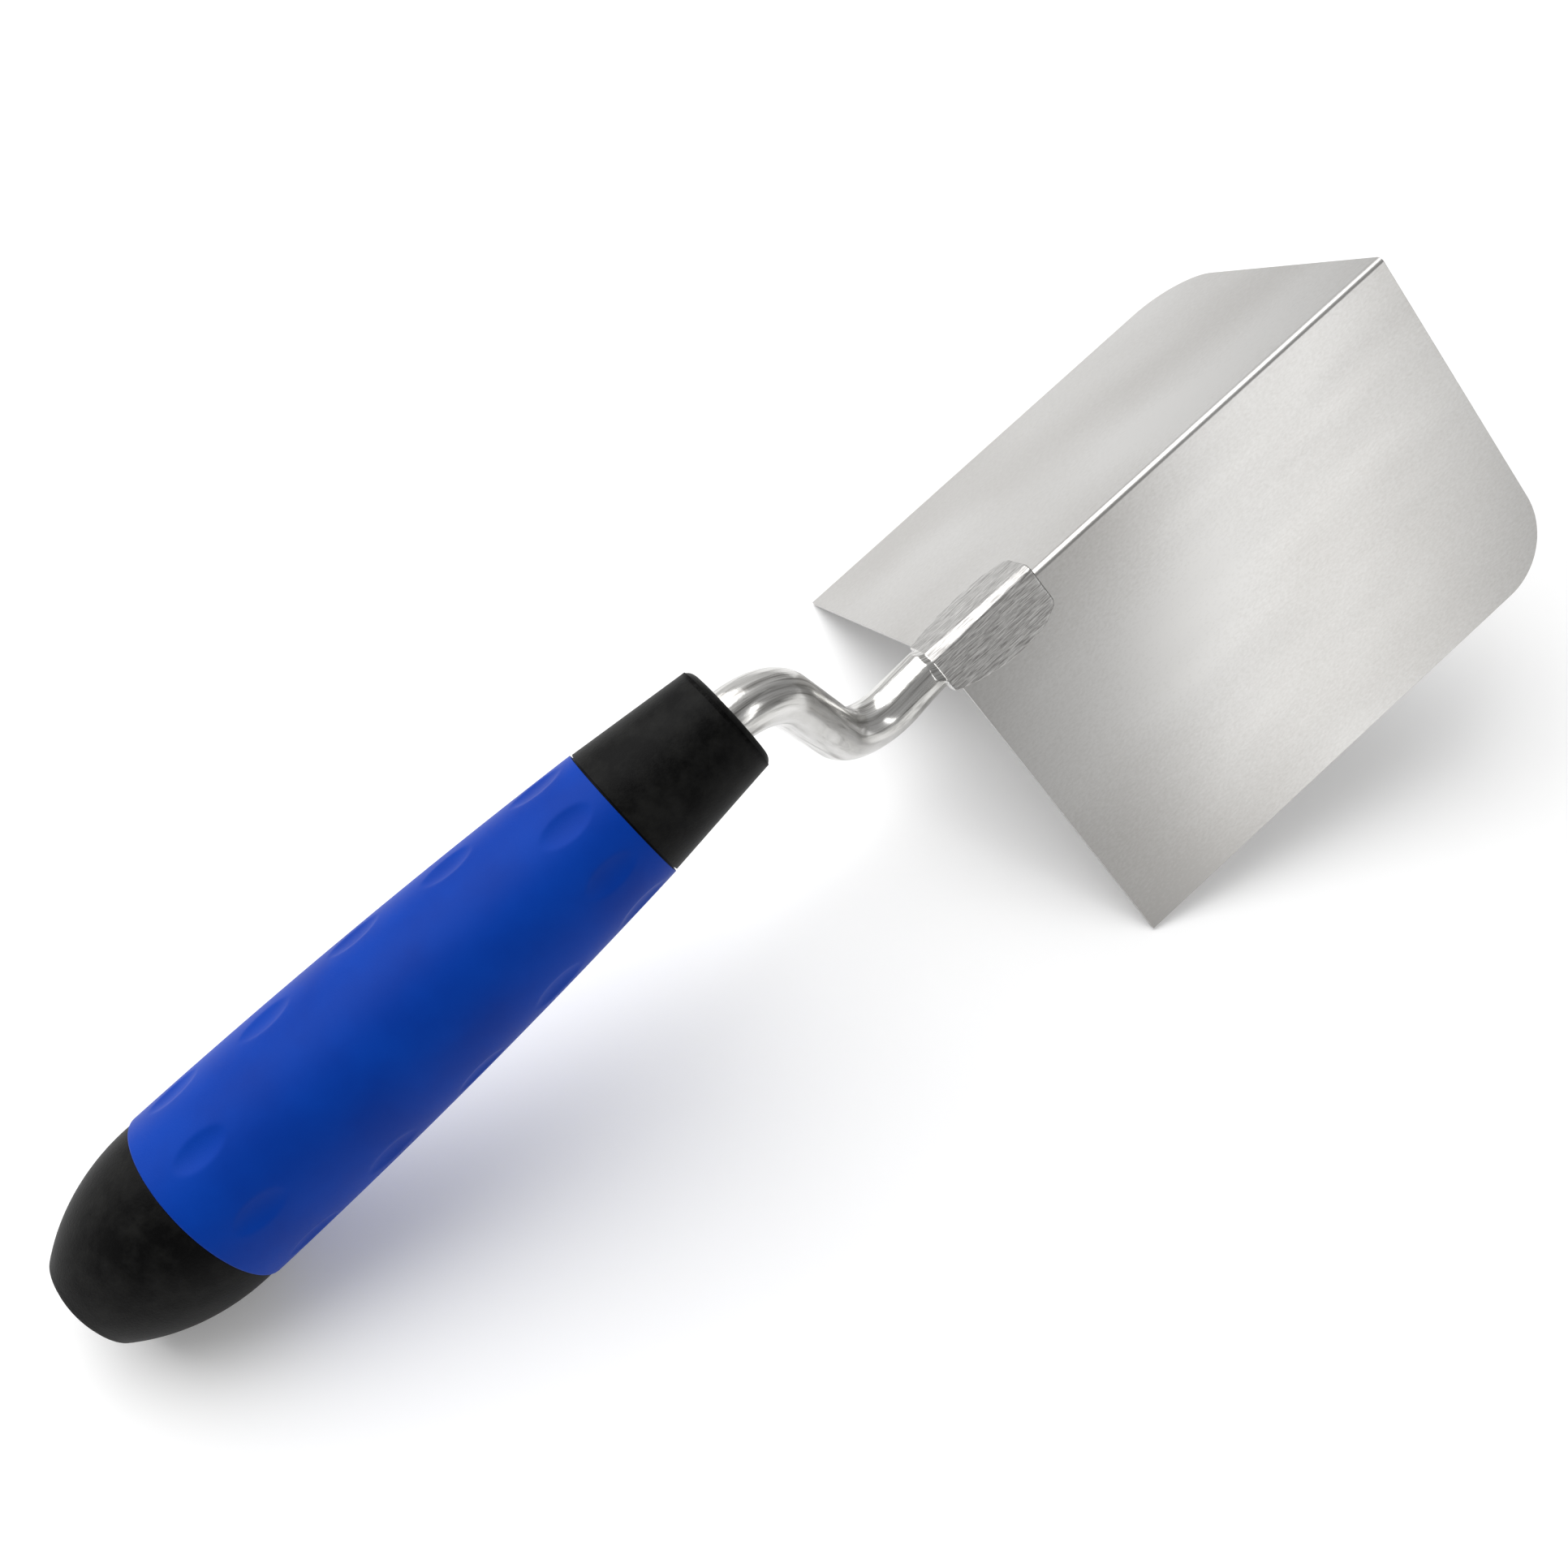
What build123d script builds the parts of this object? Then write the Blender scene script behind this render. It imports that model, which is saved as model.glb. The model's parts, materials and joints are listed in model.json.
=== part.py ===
"""Corner trowel: a folded stainless blade, a goose-neck shank and a soft two-colour grip.

Every piece is drawn in the tool frame: +X along the fold towards the nose, +Z out of the fold,
with the origin where the two outer faces would meet at the blade's rear edge. The handle's
pieces are turned about the handle's own axis, from the butt (0) to the collar's front face.
At the end the whole tool is set down as it rests on a floor: on the blade's two rear corners
and on the round of the butt cap, with the origin under the middle of its box.
"""

import os
from math import atan2, cos, degrees, radians, sin, tan

from build123d import *

# ---- blade: one folded sheet
blade_length = 110.0
wing_width = 70.0  # from the sharp meeting line of the outer faces to the free edge
sheet = 0.8
fold_angle = 94.0
fold_inner_radius = 0.5
front_corner_radius = 13.5

# ---- neck: a round rod with two bends
neck_diameter = 9.4
neck_setback = 36.8  # from the blade's rear edge back to the collar's front face
handle_height = 36.6  # of the handle's axis over the fold, at the collar's front face
handle_pitch = 1.3  # nose-up angle of the handle's axis
neck_lean = 11.5  # the drop leans towards the nose by this much
top_bend_radius = 11.5
low_bend_radius = 11.0
bend_lead = 2.5  # the top bend begins this far inside the collar
straight_lead = 1.3  # straight rod between the tang and the top bend
run_rise = 10.0  # the last run climbs towards the nose
run_depth = 0.5  # of that run's axis below the fold line, at the blade's rear edge
rear_gap = 0.3  # between the rod's end and the blade's rear edge

# ---- foot: a chevron saddle over the fold
foot_reach = 22.3
foot_overhang = 2.0
foot_width = 8.9  # along a wing, at its widest
foot_nose_width = 7.2
foot_rear_width = 6.0
foot_thickness = 2.6
foot_gap = 0.25  # bridged by the welds
crest_width = 1.4
foot_edge_round = 0.5
blend_slope = 32.0  # of the ground faces that lead from the foot up to the round rod

# ---- spot welds between the foot and the blade
weld_diameter = 4.2
weld_stations = (5.5, 15.0)
weld_offset = 4.7  # down the wing from the fold line

# ---- tang: the shank's barbed spike inside the handle
tang_diameter = 7.0
tang_depth = 78.0  # behind the collar's front face
tang_point = 4.0
barb_count = 6
barb_pitch = 7.0
barb_height = 0.6
barb_lead = 12.0  # from the point to the first barb

# ---- grip: outer shape, from the butt forwards
cap_length = 22.6
sleeve_length = 85.4
collar_length = 22.6
cap_end_radius = 8.8
cap_middle_radius = 14.3
cap_seam_radius = 15.5
cap_dome = 0.7
cap_rim_round = 1.3
cap_wall = 2.4
sleeve_step = 0.4  # the sleeve stands this much above the cap
sleeve_middle_radius = 14.8
sleeve_front_radius = 12.1
sleeve_wall = 2.6
sleeve_edge_round = 0.35
collar_front_radius = 9.6
collar_step = 0.1  # the collar stands this much below the sleeve
collar_front_round = 1.8
neck_clearance = 0.05  # all round the neck, in the collar
seam_width = 0.3  # small groove between the sleeve and the collar
seam_depth = 0.5
grip_roll = 30.5  # the grip sits turned on its tang

# ---- handle core: the hard barrel under the sleeve
core_wall = 2.4
core_nose_radius = 7.4
cavity_length = 52.0  # hollow, from the core's rear end
boss_wall = 2.5  # round the tang
boss_end_wall = 3.0
web_count = 4
web_thickness = 2.0
key_count = 8
key_width = 2.4
key_height = 0.7
key_margin = 9.0  # from each end of the sleeve to the keys
spigot_length = 9.0  # of the cap's plug inside the core
spigot_wall = 2.0
fit_clearance = 0.1

# ---- dimples pressed into the sleeve
dimple_length = 9.5
dimple_width = 4.7
dimple_depth = 0.55
dimple_rear_margin = 9.0
dimple_front_margin = 7.0
wide_ring_angles = (23.0, 71.0)
middle_ring_angles = (71.0,)
narrow_ring_angles = (62.5,)

# ---- worked out
half_fold = radians(fold_angle / 2)
neck_radius = neck_diameter / 2
tang_radius = tang_diameter / 2
handle_length = cap_length + sleeve_length + collar_length
sleeve_start = cap_length
sleeve_end = cap_length + sleeve_length
sleeve_rear_radius = cap_seam_radius + sleeve_step
collar_rear_radius = sleeve_front_radius - collar_step
shoulder = handle_length - bend_lead - straight_lead  # where the rod steps down to the tang
tang_end = handle_length - tang_depth
room = 60.0  # larger than any cutter needs to be
touch = 0.01  # places closer than this are the same place

crest_height = foot_thickness / sin(half_fold) - crest_width / 2 / tan(half_fold)

wing_down = Vector(0, sin(half_fold), -cos(half_fold))
wing_normal = Vector(0, cos(half_fold), sin(half_fold))
# the left wing's outer face: local X to the nose, Y down the wing, Z outwards
wing_face = Plane(origin=(0, 0, 0), x_dir=(1, 0, 0), z_dir=wing_normal)
axis_way = Vector(cos(radians(handle_pitch)), 0, sin(radians(handle_pitch)))
grip_top = Vector(-sin(radians(handle_pitch)), 0, cos(radians(handle_pitch)))
collar_centre = Vector(-neck_setback, 0, handle_height)
butt_centre = collar_centre - axis_way * handle_length
grip_frame = Plane(origin=butt_centre, x_dir=grip_top, z_dir=axis_way)
grip_place = grip_frame * Rot(0, 0, grip_roll)


def chevron(top, under, width):
    """Section of a symmetric saddle between two heights over the outer faces, in the YZ plane."""
    upper = wing_down * width + wing_normal * top
    lower = wing_down * width + wing_normal * under
    points = [
        (0, top / sin(half_fold)),
        (upper.Y, upper.Z),
        (lower.Y, lower.Z),
        (0, under / sin(half_fold)),
        (-lower.Y, lower.Z),
        (-upper.Y, upper.Z),
    ]
    return Plane.YZ * make_face(Polyline(*points, close=True))


def both_sides(piece):
    """A piece drawn on the left wing and its mirror image on the right one."""
    return [piece, mirror(piece, about=Plane.XZ)]


def turned(*lines):
    """A closed outline in (radius, station), turned about the handle's axis into a solid."""
    outline = Curve() + list(lines)
    return revolve(make_face(Plane.XZ * outline), axis=Axis.Z)


def bar(low, high, radius):
    """A round bar about the handle's axis, between two stations."""
    base = (Align.CENTER, Align.CENTER, Align.MIN)
    return Pos(0, 0, low) * Cylinder(radius, high - low, align=base)


def cap_side():
    """The butt cap's side, from its end to its seam with the sleeve."""
    return ThreePointArc(
        (cap_end_radius, 0),
        (cap_middle_radius, cap_length / 2),
        (cap_seam_radius, cap_length),
    )


def sleeve_side(inset):
    """The sleeve's side, or a line inside it by the inset."""
    return ThreePointArc(
        (sleeve_rear_radius - inset, sleeve_start),
        (sleeve_middle_radius - inset, (sleeve_start + sleeve_end) / 2),
        (sleeve_front_radius - inset, sleeve_end),
    )


def filled(side):
    """The solid of turning that a side line encloses, with flat ends."""
    low, high = side @ 0, side @ 1
    foot, head = Vector(0, low.Y), Vector(0, high.Y)
    return turned(side, Line(high, head), Line(head, foot), Line(foot, low))


def fold_edges(blade):
    """The edges that run along the fold, from the innermost to the outermost."""
    middle = ShapeList(edge for edge in blade.edges() if abs(edge.center().Y) < touch)
    return middle.filter_by(Axis.X).sort_by(Axis.Z)


# ---- pieces
def make_blade():
    blade = extrude(chevron(0, -sheet, wing_width), blade_length)
    blade = fillet(fold_edges(blade)[-1], fold_inner_radius + sheet)
    blade = fillet(fold_edges(blade)[0], fold_inner_radius)
    nose_corners = [
        edge
        for edge in blade.edges()
        if edge.center().X > blade_length - touch and abs(edge.length - sheet) < touch
    ]
    return fillet(nose_corners, front_corner_radius)


def neck_path():
    """The rod's axis, from its shoulder inside the collar to its end behind the blade."""
    axis_in = Vector(axis_way.X, axis_way.Z)
    drop_way = Vector(sin(radians(neck_lean)), -cos(radians(neck_lean)))
    run_way = Vector(cos(radians(run_rise)), sin(radians(run_rise)))
    top_turn = 90 - neck_lean + handle_pitch
    low_turn = 90 - neck_lean + run_rise
    top_setback = top_bend_radius * tan(radians(top_turn) / 2)
    low_setback = low_bend_radius * tan(radians(low_turn) / 2)

    collar_front = Vector(collar_centre.X, collar_centre.Z)
    bend_start = collar_front - axis_in * bend_lead
    top_corner = bend_start + axis_in * top_setback
    run_end = Vector(-rear_gap, -run_depth - rear_gap * tan(radians(run_rise)))
    # the drop goes down from the top corner until it meets the line of the last run
    gap = run_end - top_corner
    across = drop_way.X * run_way.Y - drop_way.Y * run_way.X
    low_corner = top_corner + drop_way * ((gap.X * run_way.Y - gap.Y * run_way.X) / across)

    lead_in = Line(bend_start - axis_in * straight_lead, bend_start)
    top_bend = JernArc(bend_start, axis_in, top_bend_radius, -top_turn)
    drop = Line(top_bend @ 1, low_corner - drop_way * low_setback)
    low_bend = JernArc(drop @ 1, drop_way, low_bend_radius, low_turn)
    run = Line(low_bend @ 1, run_end)
    return Plane.XZ * Wire([lead_in, top_bend, drop, low_bend, run])


def ground_away():
    """What grinding takes off the rod's end: all above the foot's flanks and crest, with a
    sloping face that leads back up to the round rod."""
    rise = neck_diameter
    run = rise / tan(radians(blend_slope))
    outline = make_face(
        Polyline(
            (-foot_overhang, 0),
            (-foot_overhang - run, rise),
            (foot_reach, rise),
            (foot_reach, 0),
            close=True,
        )
    )
    flank = Plane(origin=wing_normal * foot_thickness, x_dir=(1, 0, 0), z_dir=-wing_down)
    crest = Plane(origin=(0, 0, crest_height), x_dir=(1, 0, 0), z_dir=(0, -1, 0))
    cutters = both_sides(extrude(flank * outline, neck_diameter, both=True))
    return cutters + [extrude(crest * outline, neck_diameter, both=True)]


def foot_plan():
    """One flank seen square on: X to the nose, Y down the wing, with a bowed lower edge."""
    rear, front = -foot_overhang, foot_reach
    corners = [
        (rear, foot_rear_width),
        (rear, -foot_width),
        (front, -foot_width),
        (front, foot_nose_width),
    ]
    lower_edge = ThreePointArc(corners[-1], ((rear + front) / 2, foot_width), corners[0])
    return make_face(Wire([Line(*corners[:2]), Line(*corners[1:3]), Line(*corners[2:]), lower_edge]))


def make_foot():
    """The saddle: two flanks that meet in a flat crest over the fold."""
    saddle = extrude(chevron(foot_thickness, foot_gap, foot_width), foot_overhang + foot_reach)
    saddle = Pos(-foot_overhang, 0, 0) * saddle
    for side in both_sides(extrude(wing_face * foot_plan(), foot_width * 2, both=True)):
        saddle = saddle & side
    over_crest = Pos(0, 0, crest_height) * Box(
        room, foot_width, foot_width, align=(Align.CENTER, Align.CENTER, Align.MIN)
    )
    saddle = saddle - over_crest
    bowed = saddle.edges().filter_by(GeomType.CIRCLE)
    outer = bowed.sort_by(lambda edge: abs(edge.center().Y))[-2:]
    return fillet(outer, foot_edge_round)


def make_tang():
    """The spike: a round bar with a point and saw-tooth barbs, about the handle's axis."""
    points = [(0, tang_end), (tang_radius, tang_end + tang_point)]
    for step in range(barb_count):
        barb = tang_end + barb_lead + barb_pitch * step
        points += [
            (tang_radius, barb - barb_pitch / 2),
            (tang_radius + barb_height, barb),
            (tang_radius, barb),
        ]
    points += [(tang_radius, shoulder), (0, shoulder)]
    return turned(Polyline(*points, close=True))


def bent_rod(radius):
    """A round rod along the neck's path."""
    path = neck_path()
    return sweep(Plane(origin=path @ 0, z_dir=path % 0) * Circle(radius), path=path)


def make_shank():
    rod = bent_rod(neck_radius)
    beyond = Pos(-rear_gap, 0, 0) * Box(
        neck_diameter, room, room, align=(Align.MIN, Align.CENTER, Align.CENTER)
    )
    rod = rod - beyond
    for cutter in ground_away():
        rod = rod - cutter
    return rod + make_foot() + grip_frame * make_tang()


def make_welds():
    """Nuggets that bridge the gap between the foot's flanks and the blade."""
    base = (Align.CENTER, Align.CENTER, Align.MIN)
    welds = []
    for station in weld_stations:
        nugget = Cylinder(weld_diameter / 2, foot_gap, align=base)
        welds += both_sides(wing_face * Pos(station, weld_offset, 0) * nugget)
    return Compound(children=welds)


def core_outside():
    """The core's outer shape: barrel, nose and the keys that hold the sleeve from turning."""
    barrel = filled(sleeve_side(sleeve_wall)) + bar(sleeve_end, shoulder, core_nose_radius)
    keyed = filled(sleeve_side(sleeve_wall - key_height))
    key_length = sleeve_length - 2 * key_margin
    base = (Align.MIN, Align.CENTER, Align.MIN)
    rib = Pos(0, 0, sleeve_start + key_margin) * Box(room, key_width, key_length, align=base)
    ribs = [rotation * rib for rotation in PolarLocations(0, key_count)]
    return barrel + [keyed & rib for rib in ribs]


def core_cavity():
    """The hollow rear of the core, round the tang's boss and the webs that hold it."""
    base = (Align.CENTER, Align.CENTER, Align.MIN)
    inside = filled(sleeve_side(sleeve_wall + core_wall))
    cavity = inside & bar(sleeve_start, sleeve_start + cavity_length, room / 2)
    boss_end = tang_end - boss_end_wall
    cavity -= bar(boss_end, sleeve_end, tang_radius + boss_wall)
    web = Pos(0, 0, boss_end) * Box(room, web_thickness, sleeve_length, align=base)
    for rotation in PolarLocations(0, web_count // 2, angular_range=180):
        cavity -= rotation * web
    return cavity


def make_core():
    return core_outside() - core_cavity() - make_tang()


def dimple_cutters():
    """Rings of shallow oval pits, each the outer edge of a ring torus sunk in the surface."""
    side = sleeve_side(0)
    first = sleeve_start + dimple_rear_margin
    rings = [
        wide_ring_angles,
        narrow_ring_angles,
        middle_ring_angles,
        narrow_ring_angles,
        wide_ring_angles,
    ]
    pitch = (sleeve_length - dimple_rear_margin - dimple_front_margin) / (len(rings) - 1)
    # circles through a pit's two ends and its bottom, along the sleeve and across it
    reach = dimple_length**2 / 8 / dimple_depth
    across = 8 * dimple_depth / dimple_width**2 - 1 / sleeve_middle_radius
    tube = 1 / across
    cutters = []
    for number, angles in enumerate(rings):
        along = (first + pitch * number - sleeve_start) / sleeve_length
        spot, way = side @ along, side % along
        centre = spot + Vector(way.Y, -way.X) * (reach - dimple_depth)
        ring = Pos(centre.X, 0, centre.Y) * Rot(90, 0, 0) * Torus(reach - tube, tube)
        for angle in angles:
            for turn in (angle, -angle, 180 - angle, 180 + angle):
                cutters.append(Rot(0, 0, turn) * ring)
    return cutters


def make_sleeve():
    sleeve = filled(sleeve_side(0))
    ends = sleeve.edges().filter_by(GeomType.CIRCLE).sort_by(Axis.Z)
    sleeve = fillet(ends[0], sleeve_edge_round)
    return sleeve - core_outside() - dimple_cutters()


def make_collar():
    side = Line((collar_rear_radius, sleeve_end), (collar_front_radius, handle_length))
    collar = filled(side)
    front = collar.edges().filter_by(GeomType.CIRCLE).sort_by(Axis.Z)[-1]
    collar = fillet(front, collar_front_round)
    ring = bar(sleeve_end, sleeve_end + seam_width, room / 2)
    ring -= bar(sleeve_end, sleeve_end + seam_width, collar_rear_radius - seam_depth)
    collar -= ring
    collar -= bar(sleeve_end, shoulder, core_nose_radius)
    return grip_place * collar - bent_rod(neck_radius + neck_clearance)


def make_cap():
    side = cap_side()
    low, high = side @ 0, side @ 1
    # halfway out, a shallow dome still has three quarters of its height
    dome = ThreePointArc((0, -cap_dome), (low.X / 2, -cap_dome * 3 / 4), low)
    cap = turned(side, Line(high, (0, high.Y)), Line((0, high.Y), (0, -cap_dome)), dome)
    rim = cap.edges().filter_by(GeomType.CIRCLE).sort_by(lambda edge: abs(edge.center().Z))[0]
    cap = fillet(rim, cap_rim_round)
    plug = filled(sleeve_side(sleeve_wall + core_wall + fit_clearance))
    plug = plug & bar(sleeve_start, sleeve_start + spigot_length, room / 2)
    bore_radius = sleeve_rear_radius - sleeve_wall - core_wall - fit_clearance - spigot_wall
    bore = bar(cap_wall, sleeve_start + spigot_length, bore_radius)
    return cap + plug - bore


def rest_tilt():
    """How far the nose rises when the tool lies on its rear corners and its butt cap."""
    corner = wing_down * wing_width - wing_normal * sheet
    side = cap_side()
    samples = 2000
    tilts = []
    for step in range(samples + 1):
        radius, station = (side @ (step / samples)).X, (side @ (step / samples)).Y
        under = butt_centre + axis_way * station - grip_top * radius
        tilts.append(atan2(under.Z - corner.Z, -under.X))
    return min(tilts)


# ---- the whole tool, set down at rest
pieces = {
    "blade": make_blade(),
    "shank": make_shank(),
    "spot_welds": make_welds(),
    "handle_core": grip_place * make_core(),
    "grip_sleeve": grip_place * make_sleeve(),
    "front_collar": make_collar(),
    "butt_cap": grip_place * make_cap(),
}
tilted = {name: Rot(0, -degrees(rest_tilt()), 0) * piece for name, piece in pieces.items()}
boxes = [piece.bounding_box() for piece in tilted.values()]
rear = min(box.min.X for box in boxes)
front = max(box.max.X for box in boxes)
floor = min(box.min.Z for box in boxes)
rest = Pos(-(rear + front) / 2, 0, -floor)

os.makedirs("parts", exist_ok=True)
for name, piece in tilted.items():
    export_step(rest * piece, f"parts/{name}.step")
print("rest tilt", round(degrees(rest_tilt()), 3), "degrees, length", round(front - rear, 2))
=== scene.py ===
import json
from math import acos, atan2, cos, degrees, pi, radians, sin, sqrt, tan

import bmesh
import bpy
from mathutils import Matrix, Vector


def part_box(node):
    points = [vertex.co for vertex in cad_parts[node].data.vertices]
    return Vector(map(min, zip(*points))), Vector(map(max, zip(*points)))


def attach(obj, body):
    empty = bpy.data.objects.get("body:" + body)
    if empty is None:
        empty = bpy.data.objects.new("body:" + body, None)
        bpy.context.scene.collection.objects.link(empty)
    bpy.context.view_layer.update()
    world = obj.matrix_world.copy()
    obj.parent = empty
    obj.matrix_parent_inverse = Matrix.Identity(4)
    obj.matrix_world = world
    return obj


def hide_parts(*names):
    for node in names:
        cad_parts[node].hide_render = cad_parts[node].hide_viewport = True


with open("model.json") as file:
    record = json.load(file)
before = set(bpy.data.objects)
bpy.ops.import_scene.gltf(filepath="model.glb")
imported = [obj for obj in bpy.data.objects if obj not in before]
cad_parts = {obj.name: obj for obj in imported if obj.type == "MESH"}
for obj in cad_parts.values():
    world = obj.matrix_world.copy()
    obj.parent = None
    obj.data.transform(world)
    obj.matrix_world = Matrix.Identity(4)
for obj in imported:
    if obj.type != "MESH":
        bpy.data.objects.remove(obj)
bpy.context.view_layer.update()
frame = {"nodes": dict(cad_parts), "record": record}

# Every piece is modelled in millimetres and then put in its place. The blade and shank use the
# tool's own frame: X along the fold to the nose, Z out of the fold, zero where the wings' outer
# faces would meet at the blade's rear edge. The grip's pieces use Z from the butt to the collar.
mm = 0.001

handle = {
    "pitch": 1.3,  # degrees, nose up
    "setback": 36.8,  # from the blade's rear edge back to the collar's front face
    "height": 36.6,  # of the handle's axis over the fold, at the collar's front face
    "roll": 30.5,  # the grip sits turned on its tang
    "capLength": 22.6,
    "sleeveLength": 85.4,
    "collarLength": 22.6,
}
lipRound = 0.12  # where the black parts meet the sleeve
sleeveStart = handle["capLength"]
sleeveEnd = sleeveStart + handle["sleeveLength"]
handleLength = sleeveEnd + handle["collarLength"]

blade = {
    "length": 110.0,
    "wing": 70.0,
    "sheet": 0.8,
    "innerRadius": 0.5,
    "cornerRadius": 13.5,
    "cornerSteps": 20,
    "foldSteps": 12,
    "edgeRound": 0.1,  # the sheared edges are only just broken
}
foldRadius = blade["innerRadius"] + blade["sheet"]


def toolPlacement():
    # the wing's face direction gives the tilt and the fold, the blade's box gives the place
    face = frame["record"]["mounts"][0]["axis"]
    tilt = atan2(face[0], -face[2])
    halfFold = acos(abs(face[1]))
    low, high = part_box("blade")
    foldTop = foldRadius / sin(halfFold) - foldRadius
    x = low.x - foldTop * sin(tilt) * mm
    z = high.z - (blade["length"] * sin(tilt) - foldTop * cos(tilt)) * mm
    place = Matrix.Translation((x, 0, z)) @ Matrix.Rotation(-tilt, 4, "Y") @ Matrix.Scale(mm, 4)
    return place, tilt, halfFold


place, tilt, halfFold = toolPlacement()
pitch = radians(handle["pitch"])
gripPlace = (
    place
    @ Matrix.Translation((-handle["setback"], 0, handle["height"]))
    @ Matrix.Rotation(pi / 2 - pitch, 4, "Y")
    @ Matrix.Translation((0, 0, -handleLength))
    @ Matrix.Rotation(pi + radians(handle["roll"]), 4, "Z")
)
# down the left wing from the fold, and straight out of its outer face
wingDown = Vector((0, sin(halfFold), -cos(halfFold)))
wingOut = Vector((0, cos(halfFold), sin(halfFold)))
print("placed: tilt %.2f, fold %.1f degrees" % (degrees(tilt), 2 * degrees(halfFold)))


def startFresh():
    if bpy.context.object and bpy.context.object.mode != "OBJECT":
        bpy.ops.object.mode_set(mode="OBJECT")
    bpy.ops.object.select_all(action="DESELECT")


def useOnly(piece):
    startFresh()
    piece.select_set(True)
    bpy.context.view_layer.objects.active = piece


def pick(piece, test, kind="VERT"):
    # selects the vertices, edges or faces whose middle passes the test, and stays in edit mode
    useOnly(piece)
    bpy.ops.object.mode_set(mode="EDIT")
    bpy.ops.mesh.select_mode(type=kind)
    bpy.ops.mesh.select_all(action="DESELECT")
    mesh = bmesh.from_edit_mesh(piece.data)
    for part in {"VERT": mesh.verts, "EDGE": mesh.edges, "FACE": mesh.faces}[kind]:
        if kind == "VERT":
            middle = part.co
        elif kind == "EDGE":
            middle = (part.verts[0].co + part.verts[1].co) / 2
        else:
            middle = part.calc_center_median()
        if test(middle, part):
            part.select_set(True)
    mesh.select_flush_mode()
    bmesh.update_edit_mesh(piece.data)


def anywhere(spot, part):
    return True


def doneEditing():
    bpy.ops.object.mode_set(mode="OBJECT")


def extrudeBy(way):
    bpy.ops.mesh.extrude_region_move(TRANSFORM_OT_translate={"value": tuple(way)})


def applyModifier(piece, kind, **settings):
    useOnly(piece)
    modifier = piece.modifiers.new(kind.title(), kind)
    for name, value in settings.items():
        setattr(modifier, name, value)
    bpy.ops.object.modifier_apply(modifier=modifier.name)


def combine(piece, other, operation):
    applyModifier(piece, "BOOLEAN", object=other, operation=operation, solver="EXACT")
    bpy.data.objects.remove(other)


def tidyShell(piece):
    useOnly(piece)
    bpy.ops.object.mode_set(mode="EDIT")
    bpy.ops.mesh.select_all(action="SELECT")
    bpy.ops.mesh.remove_doubles(threshold=0.002)
    bpy.ops.mesh.normals_make_consistent(inside=False)
    doneEditing()


def settle(piece, where, name, materials, smoothTo=35):
    # puts a finished piece in its place in the frame, gives it its materials and hangs it on the root
    # body
    useOnly(piece)
    piece.data.transform(where)
    piece.name = name
    piece.data.name = name
    bpy.ops.object.shade_smooth_by_angle(angle=radians(smoothTo))
    for material in materials:
        piece.data.materials.append(material)
    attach(piece, "root")


def circleThrough(start, middle, end):
    # the centre and radius of the circle through three points
    (ax, ay), (bx, by), (cx, cy) = start, middle, end
    size = 2 * (ax * (by - cy) + bx * (cy - ay) + cx * (ay - by))
    sa, sb, sc = ax * ax + ay * ay, bx * bx + by * by, cx * cx + cy * cy
    ox = (sa * (by - cy) + sb * (cy - ay) + sc * (ay - by)) / size
    oy = (sa * (cx - bx) + sb * (ax - cx) + sc * (bx - ax)) / size
    return ox, oy, sqrt((ax - ox) ** 2 + (ay - oy) ** 2)


def arcThrough(start, middle, end, steps):
    # points along that circle from start to end, the first left out
    ox, oy, radius = circleThrough(start, middle, end)
    first = atan2(start[1] - oy, start[0] - ox)
    last = atan2(end[1] - oy, end[0] - ox)
    turn = (last - first + pi) % (2 * pi) - pi
    angles = [first + turn * (step + 1) / steps for step in range(steps)]
    return [(ox + radius * cos(angle), oy + radius * sin(angle)) for angle in angles]


def oneVertex(spot):
    # a plane shrunk to a single selected vertex, ready to be drawn out
    startFresh()
    bpy.ops.mesh.primitive_plane_add(size=1, location=spot)
    piece = bpy.context.object
    bpy.ops.object.transform_apply(location=True, rotation=False, scale=False)
    pick(piece, anywhere)
    bpy.ops.mesh.merge(type="CENTER")
    return piece


def spinOutline(points, steps, closed):
    # one vertex is drawn along an outline of (radius, station) and spun about the handle's axis
    piece = oneVertex((points[0][0], 0, points[0][1]))
    for (r0, z0), (r1, z1) in zip(points, points[1:]):
        extrudeBy((r1 - r0, 0, z1 - z0))
    if closed:
        ends = [Vector((r, 0, z)) for r, z in (points[0], points[-1])]
        pick(piece, lambda spot, part: any((spot - end).length < 0.001 for end in ends))
        bpy.ops.mesh.edge_face_add()
    pick(piece, anywhere)
    bpy.ops.mesh.spin(steps=steps, angle=2 * pi, center=(0, 0, 0), axis=(0, 0, 1))
    doneEditing()
    tidyShell(piece)
    return piece


def roundRing(piece, radius, station, size, segments):
    # rounds the edges of one turned corner
    def onRing(middle, edge):
        return all(
            abs(end.co.z - station) < 0.01 and abs(end.co.xy.length - radius) < 0.01
            for end in edge.verts
        )

    pick(piece, onRing, "EDGE")
    bpy.ops.mesh.bevel(offset=size, segments=segments, affect="EDGES")
    doneEditing()


def colour(code):
    # an sRGB hex value as linear light
    values = [int(code[at : at + 2], 16) / 255 for at in (1, 3, 5)]
    linear = [v / 12.92 if v <= 0.04045 else ((v + 0.055) / 1.055) ** 2.4 for v in values]
    return (*linear, 1)


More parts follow.
